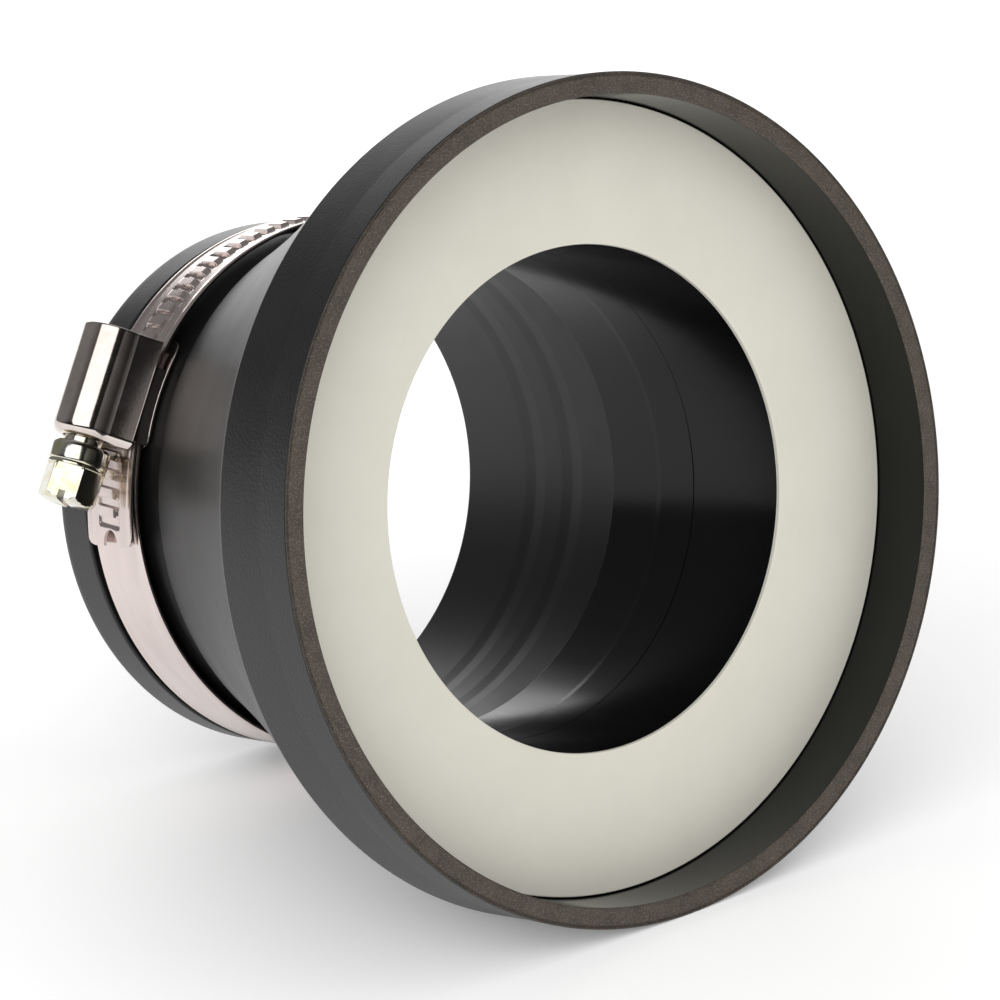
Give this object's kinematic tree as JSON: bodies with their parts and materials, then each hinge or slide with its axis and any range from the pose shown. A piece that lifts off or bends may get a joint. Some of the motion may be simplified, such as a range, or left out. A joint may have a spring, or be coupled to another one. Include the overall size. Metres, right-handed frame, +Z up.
{
  "type": "toilet flange",
  "caption": "Flexible push-on toilet flange: a shallow cup with a sealing ring round a smooth throat, tapering to a spout closed by a worm-drive hose clamp.",
  "frame": {"origin": "centre of the spout's mouth, in the plane of its end", "axes": "+Y along the flange's axis out of the spout, the cup opening towards -Y, +Z up with the clamp's screw on the -X side"},
  "size_m": [0.1406, 0.103, 0.1406],
  "materials": {
    "boot": "matte black flexible PVC, finely textured on the cup's side",
    "throat_insert": "glossy black rigid plastic",
    "sealing_ring": "smooth cream soft sealing ring",
    "clamp_band": "bright stainless steel strip",
    "clamp_housing": "bright stainless steel pressing",
    "housing_saddle": "bright stainless steel plate",
    "clamp_screw": "bright zinc plate with a faint yellow passivation"
  },
  "bodies": {
    "boot_assembly": {"boot": "boot", "throat_insert": "throat_insert", "sealing_ring": "sealing_ring"},
    "clamp": {"clamp_housing": "clamp_housing", "housing_saddle": "housing_saddle"},
    "band": {"clamp_band": "clamp_band"},
    "screw": {"clamp_screw": "clamp_screw"}
  },
  "joints": [
    {"name": "clamp_turn", "type": "hinge", "parent": "boot_assembly", "child": "clamp", "pos_m": [0, -0.019, 0], "axis": [0, 1, 0], "continuous": true},
    {"name": "screw_turn", "type": "hinge", "parent": "clamp", "child": "screw", "pos_m": [-0.04643, -0.019, 0.02713], "axis": [0.5045, 0, 0.8634], "range_deg": [-1080, 1080]},
    {"name": "band_feed", "type": "hinge", "parent": "clamp", "child": "band", "pos_m": [0, -0.019, 0], "axis": [0, -1, 0], "range_deg": [-11.2, 11.2]}
  ],
  "couplings": [
    {"joint": "band_feed", "follows": "screw_turn", "ratio": 0.010314}
  ]
}
